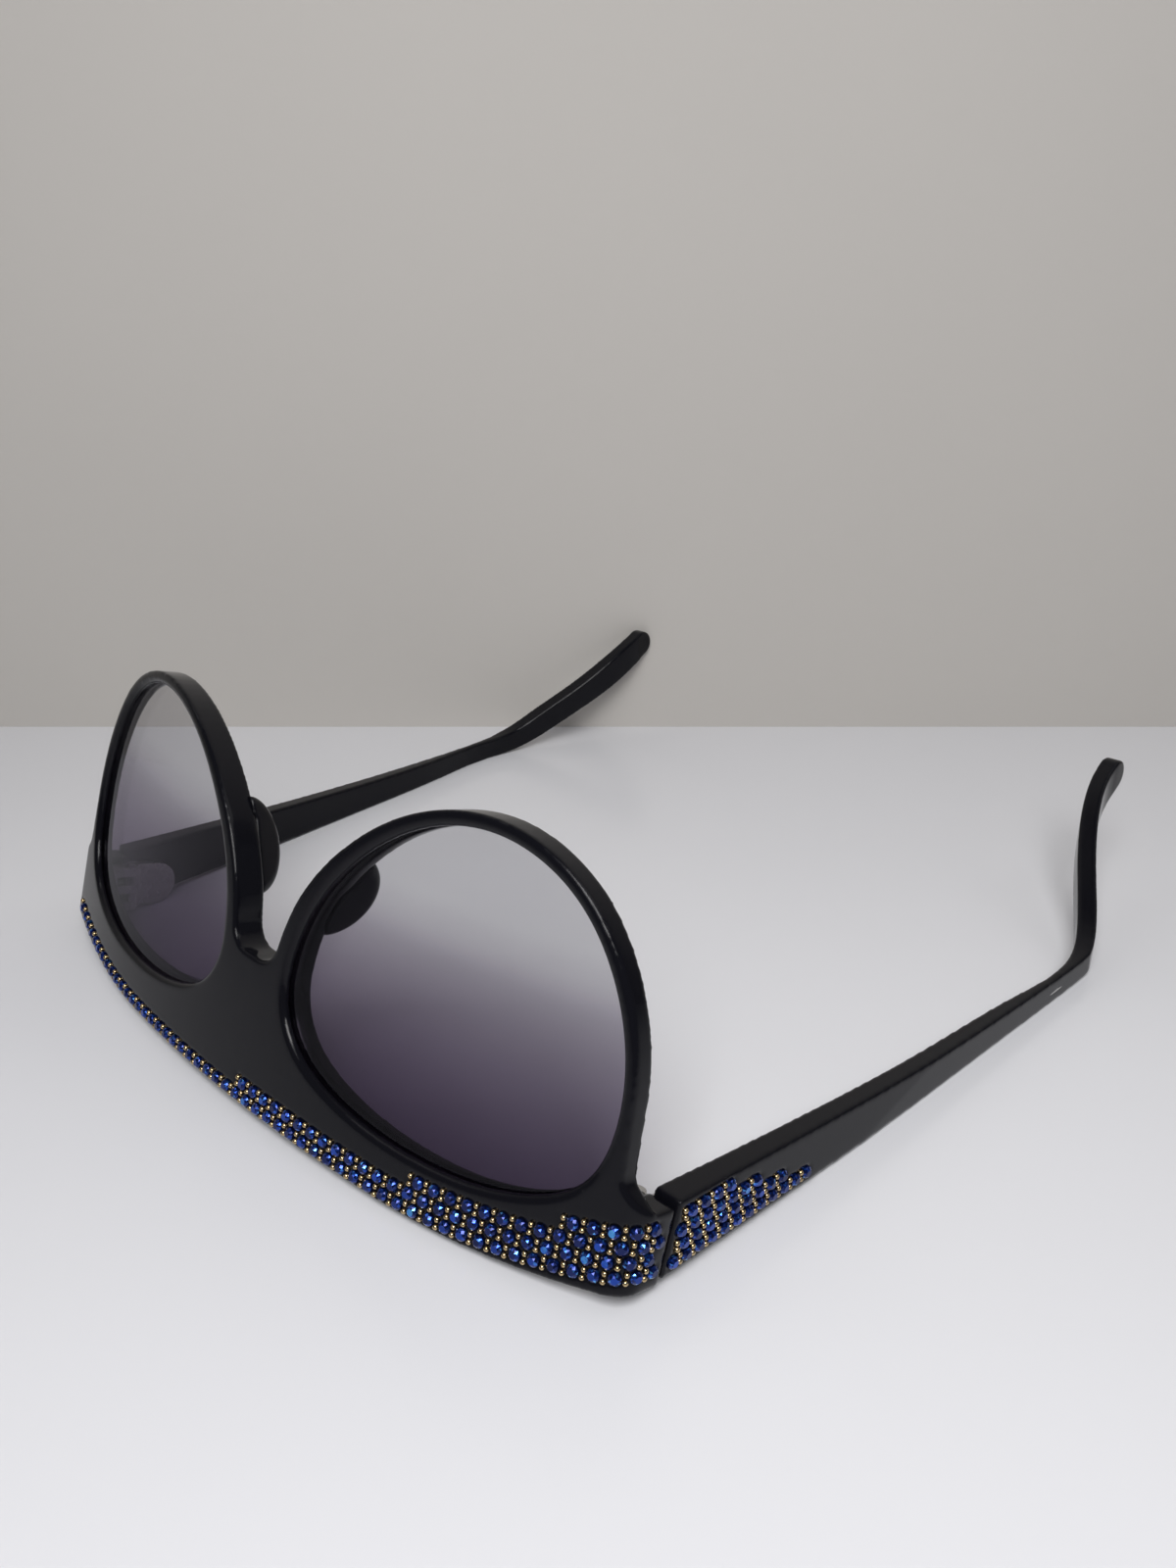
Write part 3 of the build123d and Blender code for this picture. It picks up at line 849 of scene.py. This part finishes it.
class SUNGLASSES_OT_studs(bpy.types.Operator):
    """Set gilt ball studs between the crystals"""

    bl_idname = "sunglasses.studs"
    bl_label = "Studs"

    def execute(self, context):
        settings = context.scene.sunglasses_studs
        material = gilt("gilt_stud", tuple(settings.colour))
        group = stud_tree()
        values = {"Radius": settings.radius, "Depth": settings.depth, "Seed": STUD_SEED}
        places = (("studs_front", STUD_ROWS, "front_body"),
                  ("studs_temple", ("temple_studs",), "right_temple"))
        for name, names, body in places:
            piece = grown(name, seat_cloud(name + "_points", names), group, values, material)
            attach(piece, body)
            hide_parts(*names)
        return {"FINISHED"}


class SUNGLASSES_OT_stage(bpy.types.Operator):
    """Lay the table, put up the wall and the lights and place the camera"""

    bl_idname = "sunglasses.stage"
    bl_label = "Stage"

    def execute(self, context):
        settings = context.scene.sunglasses_stage
        ahead = Vector((-math.sin(settings.heading), math.cos(settings.heading), 0.0))
        across = Vector((math.cos(settings.heading), math.sin(settings.heading), 0.0))
        below = Vector((EYE.x, EYE.y, 0.0))
        fold = below + ahead * settings.wall_distance
        near = below - ahead * 1.2
        width = across * 1.6
        rise = Vector((0.0, 0.0, 1.1))
        table = board("table", [near - width, near + width, fold + width, fold - width])
        wall = board("wall", [fold - width, fold + width, fold + width + rise, fold - width + rise])
        table.data.materials.append(
            plain_board("white_laminate", tuple(settings.table_colour), 0.2, 0.004)
        )
        wall.data.materials.append(
            plain_board("warm_grey_board", tuple(settings.wall_colour), 0.75, 0.3)
        )

        for light in LIGHTS:
            softbox(*light)
        world = bpy.data.worlds.new("studio")
        world.use_nodes = True
        sky = world.node_tree.nodes["Background"]
        sky.inputs["Color"].default_value = SKY_COLOUR
        sky.inputs["Strength"].default_value = SKY_STRENGTH
        context.scene.world = world
        context.scene.view_settings.view_transform = "Standard"

        lens = bpy.data.cameras.new("view")
        lens.sensor_fit = "VERTICAL"
        lens.sensor_height = SENSOR_HEIGHT
        lens.lens = FOCAL_LENGTH
        lens.clip_start = 0.005
        camera = bpy.data.objects.new("view", lens)
        camera.location = EYE
        camera.rotation_euler = (math.pi / 2 - CAMERA_PITCH, 0.0, settings.heading)
        context.scene.collection.objects.link(camera)
        context.scene.camera = camera
        return {"FINISHED"}


class SUNGLASSES_PT_panel(bpy.types.Panel):
    """The pieces of the sunglasses"""

    bl_label = "Sunglasses"
    bl_idname = "SUNGLASSES_PT_panel"
    bl_space_type = "VIEW_3D"
    bl_region_type = "UI"
    bl_category = "Sunglasses"

    def draw(self, context):
        layout = self.layout
        for attribute, _, operators in SECTIONS:
            box = layout.box()
            settings = getattr(context.scene, attribute)
            for name in settings.__annotations__:
                box.prop(settings, name)
            for operator in operators:
                box.operator(operator)


SECTIONS = (
    ("sunglasses_acetate", AcetateSettings, ("sunglasses.acetate",)),
    ("sunglasses_lens", LensSettings, ("sunglasses.lenses",)),
    ("sunglasses_metal", MetalSettings, ("sunglasses.hinges",)),
    ("sunglasses_crystals", CrystalSettings, ("sunglasses.crystals",)),
    ("sunglasses_studs", StudSettings, ("sunglasses.studs",)),
    ("sunglasses_stage", StageSettings, ("sunglasses.stage",)),
)

OPERATORS = (
    SUNGLASSES_OT_acetate,
    SUNGLASSES_OT_lenses,
    SUNGLASSES_OT_hinges,
    SUNGLASSES_OT_crystals,
    SUNGLASSES_OT_studs,
    SUNGLASSES_OT_stage,
)


def register():
    for attribute, settings, _ in SECTIONS:
        bpy.utils.register_class(settings)
        setattr(bpy.types.Scene, attribute, bpy.props.PointerProperty(type=settings))
    for operator in OPERATORS:
        bpy.utils.register_class(operator)
    bpy.utils.register_class(SUNGLASSES_PT_panel)


def unregister():
    bpy.utils.unregister_class(SUNGLASSES_PT_panel)
    for operator in reversed(OPERATORS):
        bpy.utils.unregister_class(operator)
    for attribute, settings, _ in reversed(SECTIONS):
        delattr(bpy.types.Scene, attribute)
        bpy.utils.unregister_class(settings)


def main():
    register()
    bpy.ops.sunglasses.stage()
    bpy.ops.sunglasses.acetate()
    bpy.ops.sunglasses.lenses()
    bpy.ops.sunglasses.hinges()
    bpy.ops.sunglasses.crystals()
    bpy.ops.sunglasses.studs()


if __name__ == "__main__":
    main()
